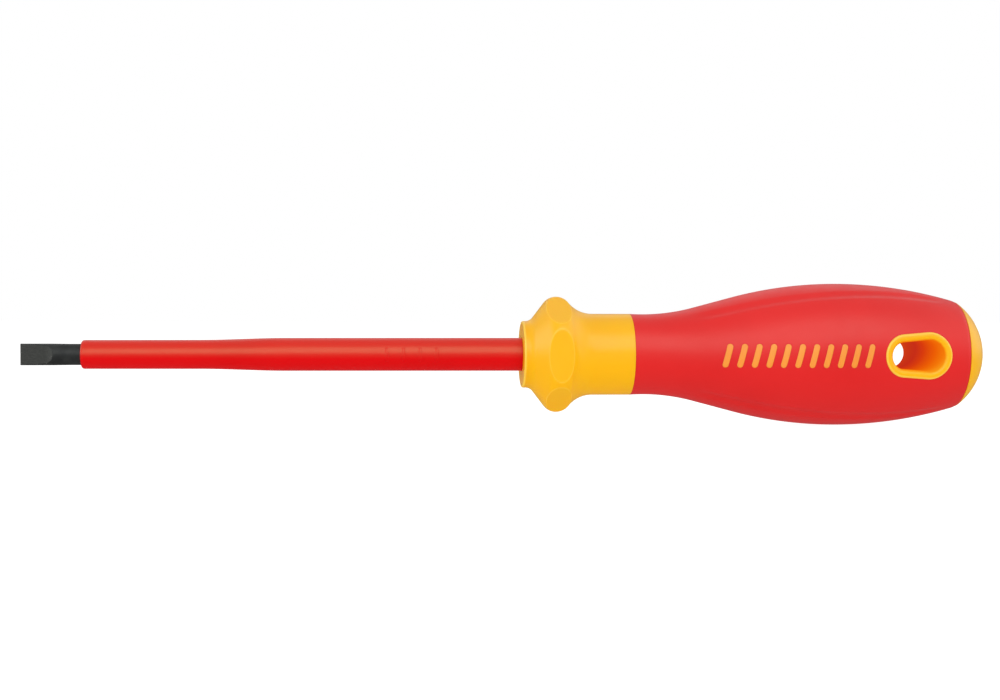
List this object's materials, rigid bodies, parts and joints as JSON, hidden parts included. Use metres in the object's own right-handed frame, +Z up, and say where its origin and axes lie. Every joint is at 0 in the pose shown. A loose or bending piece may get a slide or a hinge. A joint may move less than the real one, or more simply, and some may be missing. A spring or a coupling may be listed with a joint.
{
  "type": "insulated slotted screwdriver",
  "caption": "Slotted screwdriver with an insulated blade and a moulded two-colour handle that has a finger guard and a hanging hole.",
  "frame": {"origin": "centre of the blade tip's end face", "axes": "+X along the tool's axis from the tip to the butt, the hanging hole runs along Y, +Z up"},
  "size_m": [0.2455, 0.0366, 0.0366],
  "materials": {
    "blade_steel": "black phosphate, satin",
    "sleeve_red": "fine moulded grain",
    "core_plastic": "as moulded",
    "handle_yellow": "satin moulded",
    "grip_red": "matte soft-touch",
    "stripe_orange": "satin"
  },
  "bodies": {
    "root": {"blade": "blade_steel", "blade_sleeve": "sleeve_red", "handle_core": "core_plastic", "handle_body": "handle_yellow", "soft_grip": "grip_red", "grip_stripes": "stripe_orange", "butt_cap": "handle_yellow"}
  },
  "joints": []
}
